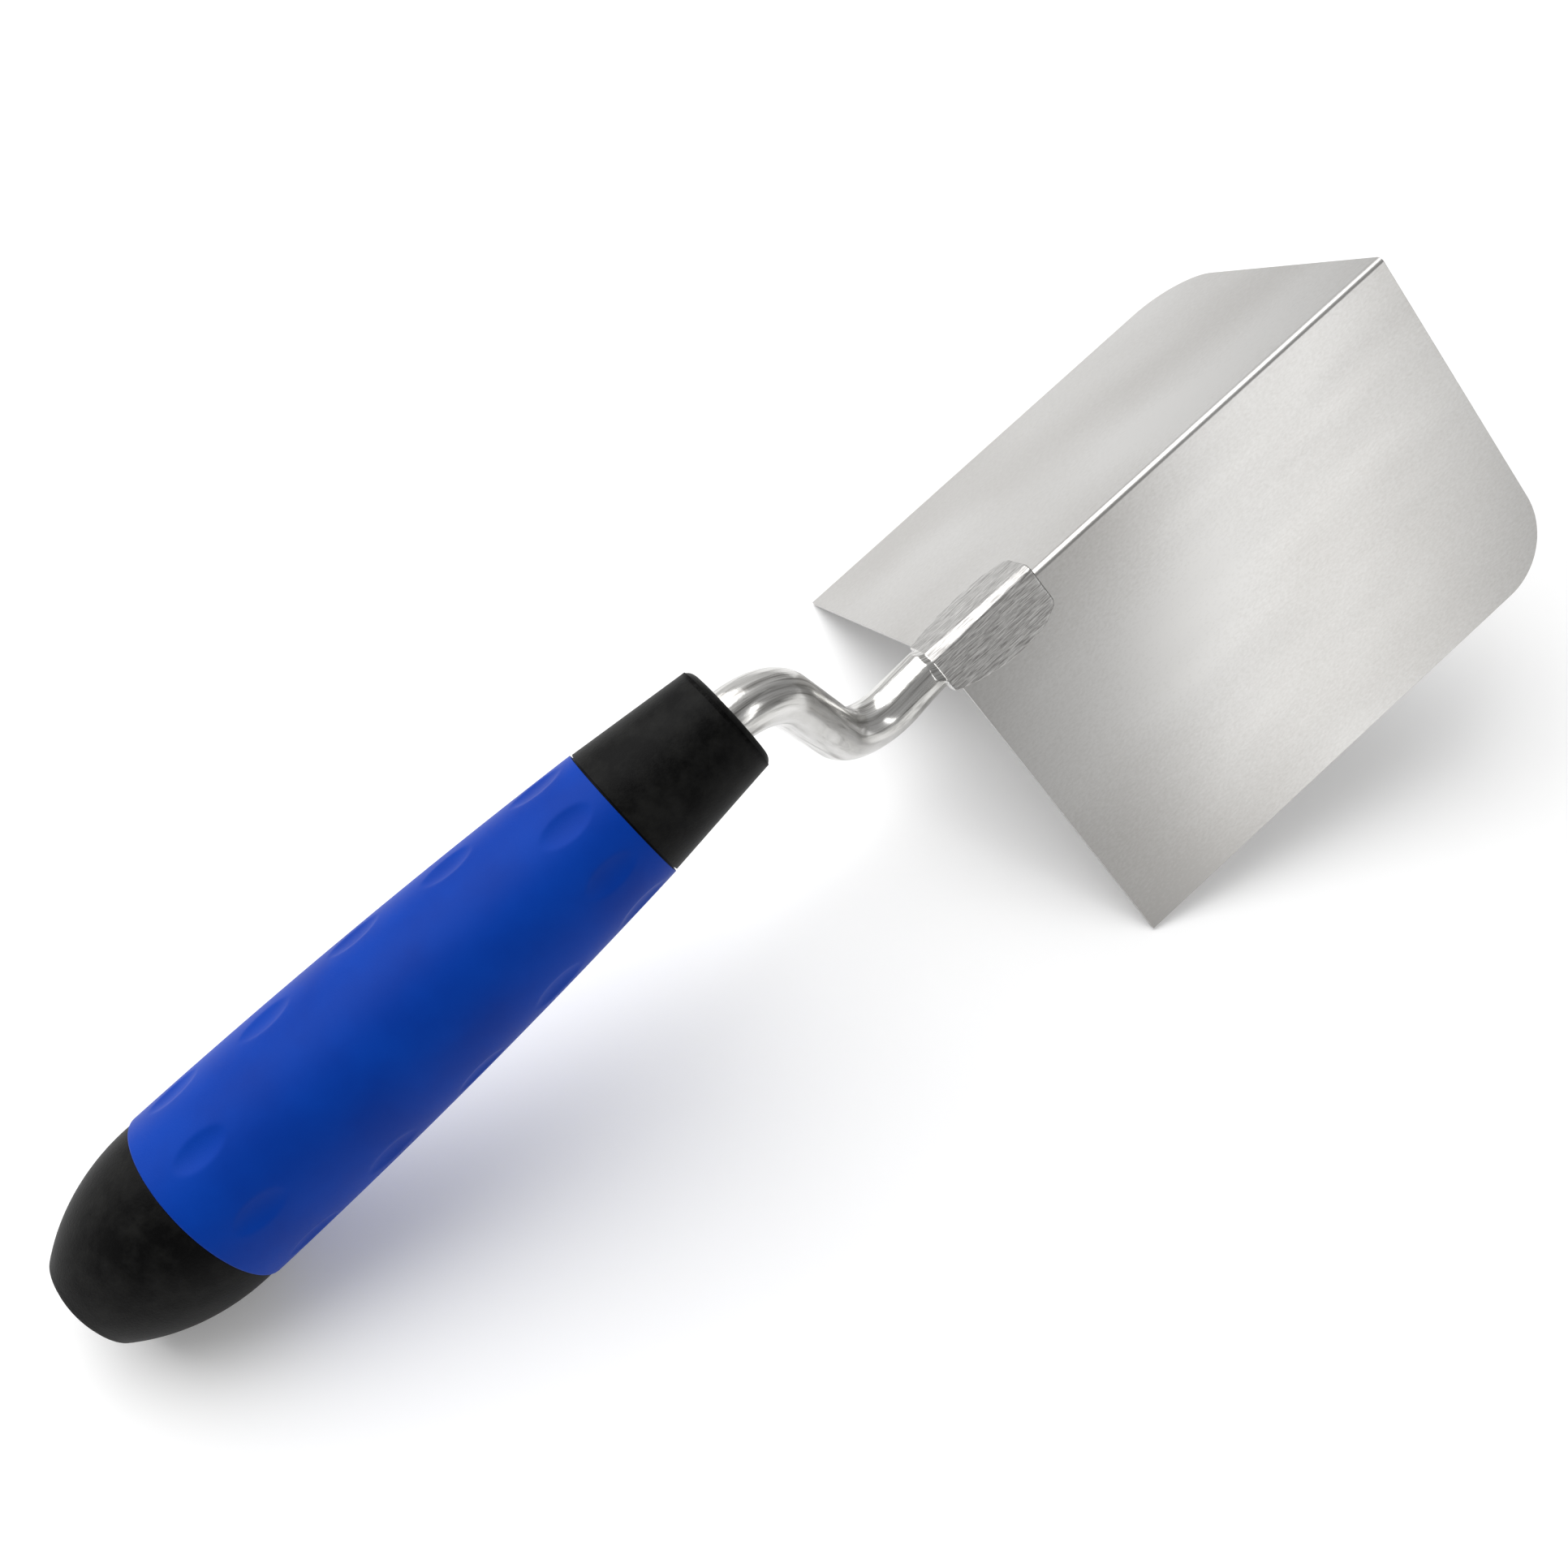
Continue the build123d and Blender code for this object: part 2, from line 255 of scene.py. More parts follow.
def addNode(tree, kind, settings=None, links=None, ramp=None):
    # one node, with its settings, its ramp's stops and the sockets that feed it
    new = tree.nodes.new(kind)
    for name, value in (settings or {}).items():
        if isinstance(name, int) or name in new.inputs:
            new.inputs[name].default_value = value
        else:
            setattr(new, name, value)
    if ramp:
        stops = new.color_ramp.elements
        while len(stops) < len(ramp):
            stops.new(0.5)
        for stop, (position, tone) in zip(stops, ramp):
            stop.position = position
            stop.color = colour(tone) if isinstance(tone, str) else (tone, tone, tone, 1)
    for name, source in (links or {}).items():
        tree.links.new(source, new.inputs[name])
    return new


def newMaterial(name):
    material = bpy.data.materials.new(name)
    material.use_nodes = True
    tree = material.node_tree
    shader = tree.nodes["Principled BSDF"]
    coords = addNode(tree, "ShaderNodeTexCoord")
    return material, tree, shader, coords.outputs["Object"]


def finishShader(tree, shader, settings, links):
    for name, value in settings.items():
        shader.inputs[name].default_value = value
    for name, source in links.items():
        tree.links.new(source, shader.inputs[name])


def grain(tree, coords, sizes, turn=0.0, detail=3.0, rough=0.5, distortion=0.0):
    # noise whose grains measure the given millimetres along, across and out of the fold
    spread = addNode(
        tree,
        "ShaderNodeMapping",
        {
            "vector_type": "TEXTURE",
            "Rotation": (0, -turn, 0),
            "Scale": tuple(size * mm for size in sizes),
        },
        {"Vector": coords},
    )
    return addNode(
        tree,
        "ShaderNodeTexNoise",
        {"Scale": 1.0, "Detail": detail, "Roughness": rough, "Distortion": distortion},
        {"Vector": spread.outputs["Vector"]},
    ).outputs["Fac"]


# Satin rolled stainless sheet: a soft, slightly cloudy sheen, a hair warmer where the rolling oil
# was wiped off unevenly.
def satinStainless():
    material, tree, shader, coords = newMaterial("satin rolled stainless")
    cloud = grain(tree, coords, (60, 42, 42), tilt, 2.0, 0.4)
    # the rolls leave a grain of about 0.05 mm, drawn at 0.4 mm so that it shows
    skin = grain(tree, coords, (0.8, 0.4, 0.4), tilt, 3.0, 0.6)
    mottle = addNode(tree, "ShaderNodeMath", {"operation": "MULTIPLY_ADD", 1: 0.6}, {0: skin, 2: cloud})
    tone = addNode(
        tree,
        "ShaderNodeValToRGB",
        links={"Fac": mottle.outputs["Value"]},
        ramp=[(0.6, "#b6b4b1"), (1.0, "#c8c7c5")],
    )
    # wiped lengthwise, so the gloss changes in long faint streaks
    streaks = grain(tree, coords, (45, 6, 6), tilt, 2.0)
    shine = addNode(tree, "ShaderNodeMapRange", {"To Min": 0.285, "To Max": 0.33}, {"Value": streaks})
    # sheet is never quite flat: hollows some 40 mm across and a fifth of a millimetre deep
    hollow = grain(tree, coords, (55, 38, 38), tilt, 1.0, 0.3)
    flat = addNode(tree, "ShaderNodeBump", {"Strength": 0.6, "Distance": 0.35 * mm}, {"Height": hollow})
    links = {"Base Color": tone.outputs["Color"], "Roughness": shine.outputs["Result"]}
    links["Normal"] = flat.outputs["Normal"]
    finishShader(tree, shader, {"Metallic": 1.0}, links)
    return material


# Drawn and polished mild steel rod: painted reflection streaks along its drawing lines, broken up by
# shallow hammer marks.
def polishedRod():
    material, tree, shader, coords = newMaterial("polished steel rod")
    cloud = grain(tree, coords, (3.5, 3.5, 3.5), tilt, 3.0)
    # drawing lines keep their distance from the middle plane round every bend, some 0.6 mm apart
    drawingLinesAndPaintedReflection = grain(tree, coords, (16.0, 0.6, 16.0), tilt, 4.0, 0.6, 0.4)
    # painted reflection: the drawing lines' dark and bright tones stand in for the rod's mirror-like
    # streaks
    tone = addNode(
        tree,
        "ShaderNodeValToRGB",
        links={"Fac": drawingLinesAndPaintedReflection},
        ramp=[(0.34, "#8a8885"), (0.5, "#cfcecb"), (0.66, "#e2e1df")],
    )
    shine = addNode(tree, "ShaderNodeMapRange", {"To Min": 0.15, "To Max": 0.26}, {"Value": cloud})
    marks = grain(tree, coords, (6.0, 1.6, 6.0), tilt, 2.0, 0.4)
    dent = addNode(tree, "ShaderNodeBump", {"Strength": 0.6, "Distance": 0.14 * mm}, {"Height": marks})
    links = {"Base Color": tone.outputs["Color"], "Roughness": shine.outputs["Result"]}
    links["Normal"] = dent.outputs["Normal"]
    finishShader(tree, shader, {"Metallic": 1.0}, links)
    return material


# Foot linished on a coarse belt: fine scratches along the ridge that catch the light one by one.
def linishedSteel():
    material, tree, shader, coords = newMaterial("belt linished steel")
    # each scratch is some 3 mm long, and drawn 0.2 mm wide so that it shows
    scratches = grain(tree, coords, (3.0, 0.2, 0.2), tilt, 4.0, 0.65, 0.2)
    cloud = grain(tree, coords, (4.0, 2.5, 2.5), tilt, 3.0)
    tone = addNode(
        tree, "ShaderNodeValToRGB", links={"Fac": scratches}, ramp=[(0.38, "#8d8b89"), (0.62, "#cbcac8")]
    )
    shine = addNode(tree, "ShaderNodeMapRange", {"To Min": 0.34, "To Max": 0.5}, {"Value": cloud})
    cut = addNode(
        tree, "ShaderNodeBump", {"Strength": 0.35, "Distance": 0.03 * mm}, {"Height": scratches}
    )
    links = {"Base Color": tone.outputs["Color"], "Roughness": shine.outputs["Result"]}
    links["Normal"] = cut.outputs["Normal"]
    finishShader(tree, shader, {"Metallic": 1.0}, links)
    return material


# Soft-touch thermoplastic rubber, moulded in royal blue: matt, with a bloom at grazing angles.
def blueRubber():
    material, tree, shader, coords = newMaterial("blue soft touch rubber")
    cloud = grain(tree, coords, (14, 14, 14), 0.0, 3.0)
    tone = addNode(
        tree, "ShaderNodeValToRGB", links={"Fac": cloud}, ramp=[(0.35, "#003598"), (0.65, "#003ca4")]
    )
    # a spark-eroded mould leaves grains of about 0.1 mm, drawn at 0.25 mm so that they show
    skin = grain(tree, coords, (0.25, 0.25, 0.25), 0.0, 2.0, 0.6)
    shine = addNode(tree, "ShaderNodeMapRange", {"To Min": 0.4, "To Max": 0.52}, {"Value": cloud})
    bump = addNode(tree, "ShaderNodeBump", {"Strength": 0.4, "Distance": 0.05 * mm}, {"Height": skin})
    links = {"Base Color": tone.outputs["Color"], "Roughness": shine.outputs["Result"]}
    links["Normal"] = bump.outputs["Normal"]
    finishShader(tree, shader, {"IOR": 1.49, "Specular IOR Level": 0.09}, links)
    return material


# Black moulded polypropylene: a fine leather-like grain and a greyish, slightly dusty sheen.
def blackPlastic():
    material, tree, shader, coords = newMaterial("black moulded polypropylene")
    cloud = grain(tree, coords, (5.0, 5.0, 5.0), 0.0, 5.0, 0.65)
    tone = addNode(
        tree, "ShaderNodeValToRGB", links={"Fac": cloud}, ramp=[(0.42, "#020202"), (0.68, "#181817")]
    )
    skin = grain(tree, coords, (0.45, 0.45, 0.45), 0.0, 3.0, 0.7)
    shine = addNode(tree, "ShaderNodeMapRange", {"To Min": 0.42, "To Max": 0.56}, {"Value": cloud})
    bump = addNode(tree, "ShaderNodeBump", {"Strength": 0.6, "Distance": 0.08 * mm}, {"Height": skin})
    links = {"Base Color": tone.outputs["Color"], "Roughness": shine.outputs["Result"]}
    links["Normal"] = bump.outputs["Normal"]
    finishShader(tree, shader, {"IOR": 1.49, "Specular IOR Level": 0.09}, links)
    return material


# Natural black polypropylene core, as it leaves the mould: plain, waxy, with faint flow marks.
def corePlastic():
    material, tree, shader, coords = newMaterial("waxy polypropylene core")
    flow = grain(tree, coords, (16, 5, 5), tilt, 2.0)
    tone = addNode(
        tree, "ShaderNodeValToRGB", links={"Fac": flow}, ramp=[(0.35, "#2c2d2f"), (0.65, "#38393b")]
    )
    shine = addNode(tree, "ShaderNodeMapRange", {"To Min": 0.34, "To Max": 0.5}, {"Value": flow})
    links = {"Base Color": tone.outputs["Color"], "Roughness": shine.outputs["Result"]}
    finishShader(tree, shader, {"IOR": 1.49}, links)
    return material


# Resistance-weld nugget: dull grey scale with blue-brown heat tint.
def weldScale():
    material, tree, shader, coords = newMaterial("scaled weld steel")
    scale = grain(tree, coords, (0.8, 0.8, 0.8), 0.0, 4.0, 0.6)
    tone = addNode(
        tree, "ShaderNodeValToRGB", links={"Fac": scale}, ramp=[(0.35, "#6c6661"), (0.65, "#8f8d90")]
    )
    shine = addNode(tree, "ShaderNodeMapRange", {"To Min": 0.4, "To Max": 0.62}, {"Value": scale})
    links = {"Base Color": tone.outputs["Color"], "Roughness": shine.outputs["Result"]}
    finishShader(tree, shader, {"Metallic": 1.0}, links)
    return material


# the camera, in the tool's own frame
view = {
    "spot": (-54.94, -114.9, 256.82),
    "right": (0.7402, -0.63147, -0.23099),
    "down": (-0.66888, -0.65645, -0.34882),
    "lens": 36.785,
}


def addCamera():
    data = bpy.data.cameras.new("Camera")
    data.lens = view["lens"]
    data.sensor_width = 36
    data.clip_start = 0.01
    camera = bpy.data.objects.new("Camera", data)
    bpy.context.scene.collection.objects.link(camera)
    turn = place.to_3x3().normalized()
    right = (turn @ Vector(view["right"])).normalized()
    up = -(turn @ Vector(view["down"])).normalized()
    back = right.cross(up).normalized()
    camera.matrix_world = Matrix.Translation(place @ Vector(view["spot"])) @ Matrix(
        (
            (right.x, up.x, back.x, 0),
            (right.y, up.y, back.y, 0),
            (right.z, up.z, back.z, 0),
            (0, 0, 0, 1),
        )
    )
    bpy.context.scene.camera = camera


addCamera()
print("camera is up")

studio = {
    "brightSide": (-0.15, 0.9, 0.4),  # the white wall of the room
    "walls": [(0.0, 0.5), (0.3, 0.42), (0.5, 0.42), (0.75, 0.75), (1.0, 1.0)],  # dark to bright side
    "strength": 0.8,
    # softboxes: where, how wide and high in metres, and watts
    "lights": {
        "Key": {"spot": (-0.25, 0.6, 1.0), "wide": 1.3, "high": 1.3, "power": 13.5, "roll": 0},
        "Strip": {"spot": (0.28, -0.76, 0.46), "wide": 0.15, "high": 0.55, "power": 0.68, "roll": -24},
    },
    "floor": "#f6f6f6",
    "floorPale": "#f7f7f7",
    "floorSize": 6,
    "floorGlow": 0.12,  # lit a little through from below, which thins the shadows
}


def addStudio():
    world = bpy.data.worlds.new("Studio")
    bpy.context.scene.world = world
    world.use_nodes = True
    tree = world.node_tree
    coords = addNode(tree, "ShaderNodeTexCoord")
    side = addNode(
        tree,
        "ShaderNodeVectorMath",
        {"operation": "DOT_PRODUCT", 1: Vector(studio["brightSide"]).normalized()},
        {0: coords.outputs["Generated"]},
    )
    facing = addNode(tree, "ShaderNodeMapRange", {"From Min": -1.0}, {"Value": side.outputs["Value"]})
    facing = facing.outputs["Result"]
    tone = addNode(tree, "ShaderNodeValToRGB", links={"Fac": facing}, ramp=studio["walls"])
    background = tree.nodes["Background"]
    tree.links.new(tone.outputs["Color"], background.inputs["Color"])
    background.inputs["Strength"].default_value = studio["strength"]
    for name, light in studio["lights"].items():
        data = bpy.data.lights.new(name, "AREA")
        data.energy = light["power"]
        data.shape = "RECTANGLE"
        data.size = light["wide"]
        data.size_y = light["high"]
        lamp = bpy.data.objects.new(name, data)
        bpy.context.scene.collection.objects.link(lamp)
        lamp.location = light["spot"]
        aim = (-Vector(light["spot"])).to_track_quat("-Z", "Y").to_matrix()
        lamp.rotation_euler = (aim @ Matrix.Rotation(radians(light["roll"]), 3, "Z")).to_euler()
    startFresh()
    bpy.ops.mesh.primitive_plane_add(size=studio["floorSize"])
    floor = bpy.context.object
    floor.name = "Floor"
    material, tree, shader, coords = newMaterial("white sweep paper")
    cloud = grain(tree, coords, (90, 90, 90))
    tone = addNode(
        tree,
        "ShaderNodeValToRGB",
        links={"Fac": cloud},
        ramp=[(0.3, studio["floor"]), (0.7, studio["floorPale"])],
    )
    glow = {"Emission Color": (1, 1, 1, 1), "Emission Strength": studio["floorGlow"]}
    finishShader(tree, shader, {"Roughness": 0.7, **glow}, {"Base Color": tone.outputs["Color"]})
    floor.data.materials.append(material)
    bpy.context.scene.view_settings.view_transform = "Standard"


addStudio()
print("studio is lit")


def makeBlade():
    flat = blade["wing"] - foldRadius / tan(halfFold)  # of a wing's outer face, beside the fold
    piece = oneVertex(wingDown * blade["wing"])
    extrudeBy(-wingDown * flat)
    turn = pi - 2 * halfFold
    centre = (0, 0, -foldRadius / sin(halfFold))
    # the spin operator turns left about its axis, so the axes point backwards
    bpy.ops.mesh.spin(steps=blade["foldSteps"], angle=turn, center=centre, axis=(-1, 0, 0))
    extrudeBy(Vector((0, -sin(halfFold), -cos(halfFold))) * flat)
    bpy.ops.mesh.select_all(action="SELECT")
    extrudeBy((blade["length"], 0, 0))
    reach = wingDown.y * blade["wing"]
    pick(piece, lambda spot, part: spot.x > 1 and abs(abs(spot.y) - reach) < 0.01)
    bpy.ops.mesh.bevel(offset=blade["cornerRadius"], segments=blade["cornerSteps"], affect="VERTICES")
    doneEditing()
    tidyShell(piece)
    # the outer faces stay where they are, and the thickness goes inwards
    inner = sum(face.normal.z for face in piece.data.polygons) > 0
    applyModifier(
        piece, "SOLIDIFY", thickness=blade["sheet"], offset=-1 if inner else 1, use_even_offset=True
    )
    applyModifier(
        piece,
        "BEVEL",
        width=blade["edgeRound"],
        segments=3,
        limit_method="ANGLE",
        angle_limit=radians(50),
    )
    tidyShell(piece)
    settle(piece, place, "trowel_blade", [satinStainless()])
    applyModifier(piece, "WEIGHTED_NORMAL", keep_sharp=True, weight=100)
    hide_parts("blade")


makeBlade()
print("blade is folded")

sleeve = {
    "rearRadius": 15.9,
    "middleRadius": 14.8,
    "frontRadius": 12.1,
    "wall": 1.88,  # over the keys of the core
    "rearRound": 0.35,
    "turns": 272,
    "rows": 200,
    "dimpleLength": 9.5,
    "dimpleWidth": 4.7,
    "dimpleDepth": 0.55,
    "rearMargin": 9.0,  # from the sleeve's end to the first ring of dimples
    "frontMargin": 7.0,
    "rings": [(23.0, 71.0), (62.5,), (71.0,), (62.5,), (23.0, 71.0)],  # degrees from top and bottom
}


def dimpleWeight(spot):
    # 1 at the bottom of a dimple and 0 at its rim, as a ball end cutter would leave it
    firstRing = sleeveStart + sleeve["rearMargin"]
    spacing = handle["sleeveLength"] - sleeve["rearMargin"] - sleeve["frontMargin"]
    spacing /= len(sleeve["rings"]) - 1
    around = degrees(atan2(spot.y, spot.x))
    best = 0.0
    for number, angles in enumerate(sleeve["rings"]):
        along = (spot.z - firstRing - spacing * number) / (sleeve["dimpleLength"] / 2)
        if abs(along) > 1:
            continue
        for angle in angles:
            for centre in (angle, -angle, 180 - angle, angle - 180):
                off = (around - centre + 180) % 360 - 180
                across = radians(off) * spot.xy.length / (sleeve["dimpleWidth"] / 2)
                best = max(best, 1 - along * along - across * across)
    return best


def makeSleeve():
    rear = (sleeve["rearRadius"], sleeveStart)
    middle = (sleeve["middleRadius"], (sleeveStart + sleeveEnd) / 2)
    front = (sleeve["frontRadius"], sleeveEnd)
    outside = [rear] + arcThrough(rear, middle, front, sleeve["rows"])
    wall = sleeve["wall"]
    inside = [(r - wall, z) for r, z in [rear] + arcThrough(rear, middle, front, 12)]
    piece = spinOutline(outside + inside[::-1], sleeve["turns"], True)
    roundRing(piece, *rear, sleeve["rearRound"], 4)
    group = piece.vertex_groups.new(name="dimples")
    for vertex in piece.data.vertices:
        if vertex.co.xy.length > sleeve["frontRadius"] - 1 and vertex.normal.xy.dot(vertex.co.xy) > 0:
            weight = dimpleWeight(vertex.co)
            if weight > 0:
                group.add([vertex.index], weight, "REPLACE")
    applyModifier(
        piece,
        "DISPLACE",
        strength=-sleeve["dimpleDepth"],
        mid_level=0.0,
        vertex_group="dimples",
        direction="NORMAL",
    )
    settle(piece, gripPlace, "sleeve_rubber", [blueRubber()])
    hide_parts("grip_sleeve")


makeSleeve()
print("sleeve is dimpled")

neck = {
    "radius": 4.7,
    "footRadius": 4.2,  # drawn down a little towards the foot
    "lean": 11.5,  # degrees, of the drop towards the nose
    "topBend": 11.5,
    "lowBend": 11.0,
    "lead": 2.5,  # the top bend begins this far inside the collar
    "straight": 1.3,
    "rise": 10.0,  # degrees, of the last run
    "depth": 0.5,  # of its axis below the fold, at the blade's rear edge
    "rearGap": 0.3,  # the rod's end is short of the blade by this
    "intoFoot": 1.5,  # and runs on inside the foot
    "around": 96,
    "bendSteps": 28,
}
shoulder = handleLength - neck["lead"] - neck["straight"]

collar = {
    "rearRadius": 12.0,
    "frontRadius": 9.6,
    "frontRound": 1.6,
    "seamWidth": 0.3,
    "seamDepth": 0.5,
    "boreRadius": 4.76,
    "socketRadius": 7.42,  # round the core's nose
    "turns": 160,
}


def makeCollar():
    seamEnd = sleeveEnd + collar["seamWidth"]
    groove = collar["rearRadius"] - collar["seamDepth"]
    slope = (collar["rearRadius"] - collar["frontRadius"]) / handle["collarLength"]
    lipRadius = collar["rearRadius"] - slope * collar["seamWidth"]
    side = [
        (lipRadius - slope * (z - seamEnd), z)
        for z in [seamEnd + (handleLength - seamEnd) * step / 24 for step in range(25)]
    ]
    bore, socket = collar["boreRadius"], collar["socketRadius"]
    bends = [handleLength - neck["lead"] * step / 4 for step in range(5)]
    outline = [(socket, sleeveEnd), (groove, sleeveEnd), (groove, seamEnd)] + side
    outline += [(bore, z) for z in bends] + [(bore, shoulder), (socket, shoulder)]
    piece = spinOutline(outline, collar["turns"], True)
    # the bore follows the start of the neck's bend
    for station in bends:
        into = station - bends[-1]
        sag = neck["topBend"] - sqrt(neck["topBend"] ** 2 - into * into)
        pick(piece, lambda spot, part: abs(spot.z - station) < 0.01 and spot.xy.length < bore + 0.1)
        down = Matrix.Rotation(-radians(handle["roll"]), 3, "Z") @ Vector((-sag, 0, 0))
        bpy.ops.transform.translate(value=down)
        doneEditing()
    roundRing(piece, *side[-1], collar["frontRound"], 8)
    roundRing(piece, *side[0], lipRound, 3)
    settle(piece, gripPlace, "collar_shell", [blackShell])
    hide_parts("front_collar")


blackShell = blackPlastic()
makeCollar()
print("collar is turned")

cap = {
    "endRadius": 8.8,
    "middleRadius": 14.3,
    "seamRadius": 15.5,
    "dome": 0.7,
    "rimRound": 1.25,
    "wall": 2.4,
    "plugRadius": 10.75,
    "plugLength": 9.0,
    "plugTaper": 0.15,
    "boreRadius": 8.8,
    "turns": 176,
}


def makeCap():
    end, seam = (cap["endRadius"], 0.0), (cap["seamRadius"], sleeveStart)
    middle = (cap["middleRadius"], sleeveStart / 2)
    crown = (0.0, -cap["dome"])
    halfway = (cap["endRadius"] / 2, -cap["dome"] * 3 / 4)
    plug, bore = cap["plugRadius"], cap["boreRadius"]
    plugEnd = sleeveStart + cap["plugLength"]
    outline = [crown] + arcThrough(crown, halfway, end, 14) + arcThrough(end, middle, seam, 48)
    outline += [(plug, sleeveStart), (plug - cap["plugTaper"], plugEnd), (bore, plugEnd)]
    outline += [(bore, cap["wall"]), (0.0, cap["wall"])]
    piece = spinOutline(outline, cap["turns"], False)
    roundRing(piece, *end, cap["rimRound"], 7)
    roundRing(piece, *seam, lipRound, 3)
    settle(piece, gripPlace, "cap_shell", [blackShell])
    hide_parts("butt_cap")


makeCap()
print("butt cap is turned")

foot = {
    "reach": 22.3,
    "overhang": 2.0,
    "width": 8.9,
    "noseWidth": 7.2,
    "rearWidth": 6.0,
    "thickness": 2.6,
    "gap": 0.25,
    "crestWidth": 1.4,
    "crestRear": 2.4,  # the crest was ground wider towards the rear
    "corner": 2.2,  # the rounding of the flanks' lower front corner
    "blendSlope": 32.0,  # degrees, from the ground faces up to the round rod
    "bowDepth": 12.0,  # the cutting shapes reach well past what they cut
    "grindRise": 10.0,
    "grindWidth": 18.0,
    "voxel": 0.24,
}

tang = {
    "slim": 0.04,  # a hair thinner than its pocket in the core
    "radius": 3.5,
    "length": 78.0,
    "taper": 4.0,
    "barbs": 6,
    "firstBarb": 12.0,
    "barbSpacing": 7.0,
    "barbHeight": 0.6,
    "intoRod": 0.5,
    "around": 48,
}


def neckStations():
    # the corners and bends of the rod's axis in the XZ plane
    rise, lean = radians(neck["rise"]), radians(neck["lean"])
    axis = Vector((cos(pitch), 0, sin(pitch)))
    drop = Vector((sin(lean), 0, -cos(lean)))
    run = Vector((cos(rise), 0, sin(rise)))
    start = Vector((-handle["setback"], 0, handle["height"])) - axis * neck["lead"]
    topTurn = pi / 2 - lean + pitch
    lowTurn = pi / 2 - lean + rise
    corner = start + axis * neck["topBend"] * tan(topTurn / 2)
    end = Vector((-neck["rearGap"], 0, -neck["depth"] - neck["rearGap"] * tan(rise)))
    gap = end - corner
    across = drop.x * run.z - drop.z * run.x
    lowCorner = corner + drop * ((gap.x * run.z - gap.z * run.x) / across)
    topEnd = corner + drop * neck["topBend"] * tan(topTurn / 2)
    lowStart = lowCorner - drop * neck["lowBend"] * tan(lowTurn / 2)
    lowEnd = lowCorner + run * neck["lowBend"] * tan(lowTurn / 2)
    return axis, run, start, topTurn, topEnd, lowStart, lowTurn, lowEnd, end


def makeRod():
    axis, run, start, topTurn, topEnd, lowStart, lowTurn, lowEnd, end = neckStations()
    startFresh()
    bpy.ops.mesh.primitive_circle_add(
        vertices=neck["around"],
        radius=neck["radius"],
        fill_type="NGON",
        location=start - axis * neck["straight"],
        rotation=(0, pi / 2 - pitch, 0),
    )
    piece = bpy.context.object
    bpy.ops.object.transform_apply(location=True, rotation=True, scale=True)
    pick(piece, anywhere, "FACE")
    extrudeBy(axis * neck["straight"])
    down = Vector((sin(pitch), 0, -cos(pitch)))
    centre = start + down * neck["topBend"]
    bpy.ops.mesh.spin(steps=neck["bendSteps"], angle=topTurn, center=centre, axis=(0, -1, 0))
    extrudeBy(lowStart - topEnd)
    forward = Vector((cos(radians(neck["lean"])), 0, sin(radians(neck["lean"]))))
    centre = lowStart + forward * neck["lowBend"]
    bpy.ops.mesh.spin(steps=neck["bendSteps"], angle=lowTurn, center=centre, axis=(0, 1, 0))
    finish = end + run * neck["intoFoot"]
    extrudeBy(finish - lowEnd)
    shrink = neck["footRadius"] / neck["radius"]
    bpy.ops.transform.resize(value=(shrink,) * 3, center_override=finish)
    doneEditing()
    tidyShell(piece)
    return piece


def makeFlank():
    # the left flank: a block on the wing, its lower edge bowed by a large cylinder
    startFresh()
    length = foot["reach"] + foot["overhang"]
    thick = foot["thickness"] - foot["gap"]
    middle = (foot["reach"] - foot["overhang"]) / 2
    turn = Matrix(((1, 0, 0), wingDown, wingOut)).transposed()  # X, down the wing, out of it
    spot = turn @ Vector((middle, 0, (foot["thickness"] + foot["gap"]) / 2))
    bpy.ops.mesh.primitive_cube_add(size=1, location=spot, rotation=turn.to_euler())
    piece = bpy.context.object
    piece.scale = (length, 3 * foot["width"], thick)
    bpy.ops.object.transform_apply(location=True, rotation=True, scale=True)
    front, rear = (foot["reach"], foot["noseWidth"]), (-foot["overhang"], foot["rearWidth"])
    bow = (middle, foot["width"])
    ox, oy, radius = circleThrough(front, bow, rear)
    startFresh()
    bpy.ops.mesh.primitive_cylinder_add(
        vertices=360,
        radius=radius,
        depth=foot["bowDepth"],
        location=turn @ Vector((ox, oy, foot["thickness"] / 2)),
        rotation=turn.to_euler(),
    )
    wheel = bpy.context.object
    bpy.ops.object.transform_apply(location=True, rotation=True, scale=True)
    combine(piece, wheel, "INTERSECT")
    # the lower front corner is rounded off by two cuts
    for angle in (radians(27), radians(63)):
        away = Vector((cos(angle), 0, 0)) + wingDown * sin(angle)
        heart = Vector((front[0] - foot["corner"], 0, 0)) + wingDown * (front[1] - foot["corner"])
        pick(piece, anywhere, "FACE")
        bpy.ops.mesh.bisect(
            plane_co=heart + away * foot["corner"], plane_no=away, use_fill=True, clear_outer=True
        )
        doneEditing()
    # mitred over the fold
    pick(piece, anywhere, "FACE")
    bpy.ops.mesh.bisect(plane_co=(0, 0, 0), plane_no=(0, 1, 0), use_fill=True, clear_inner=True)
    doneEditing()
    tidyShell(piece)
    return piece


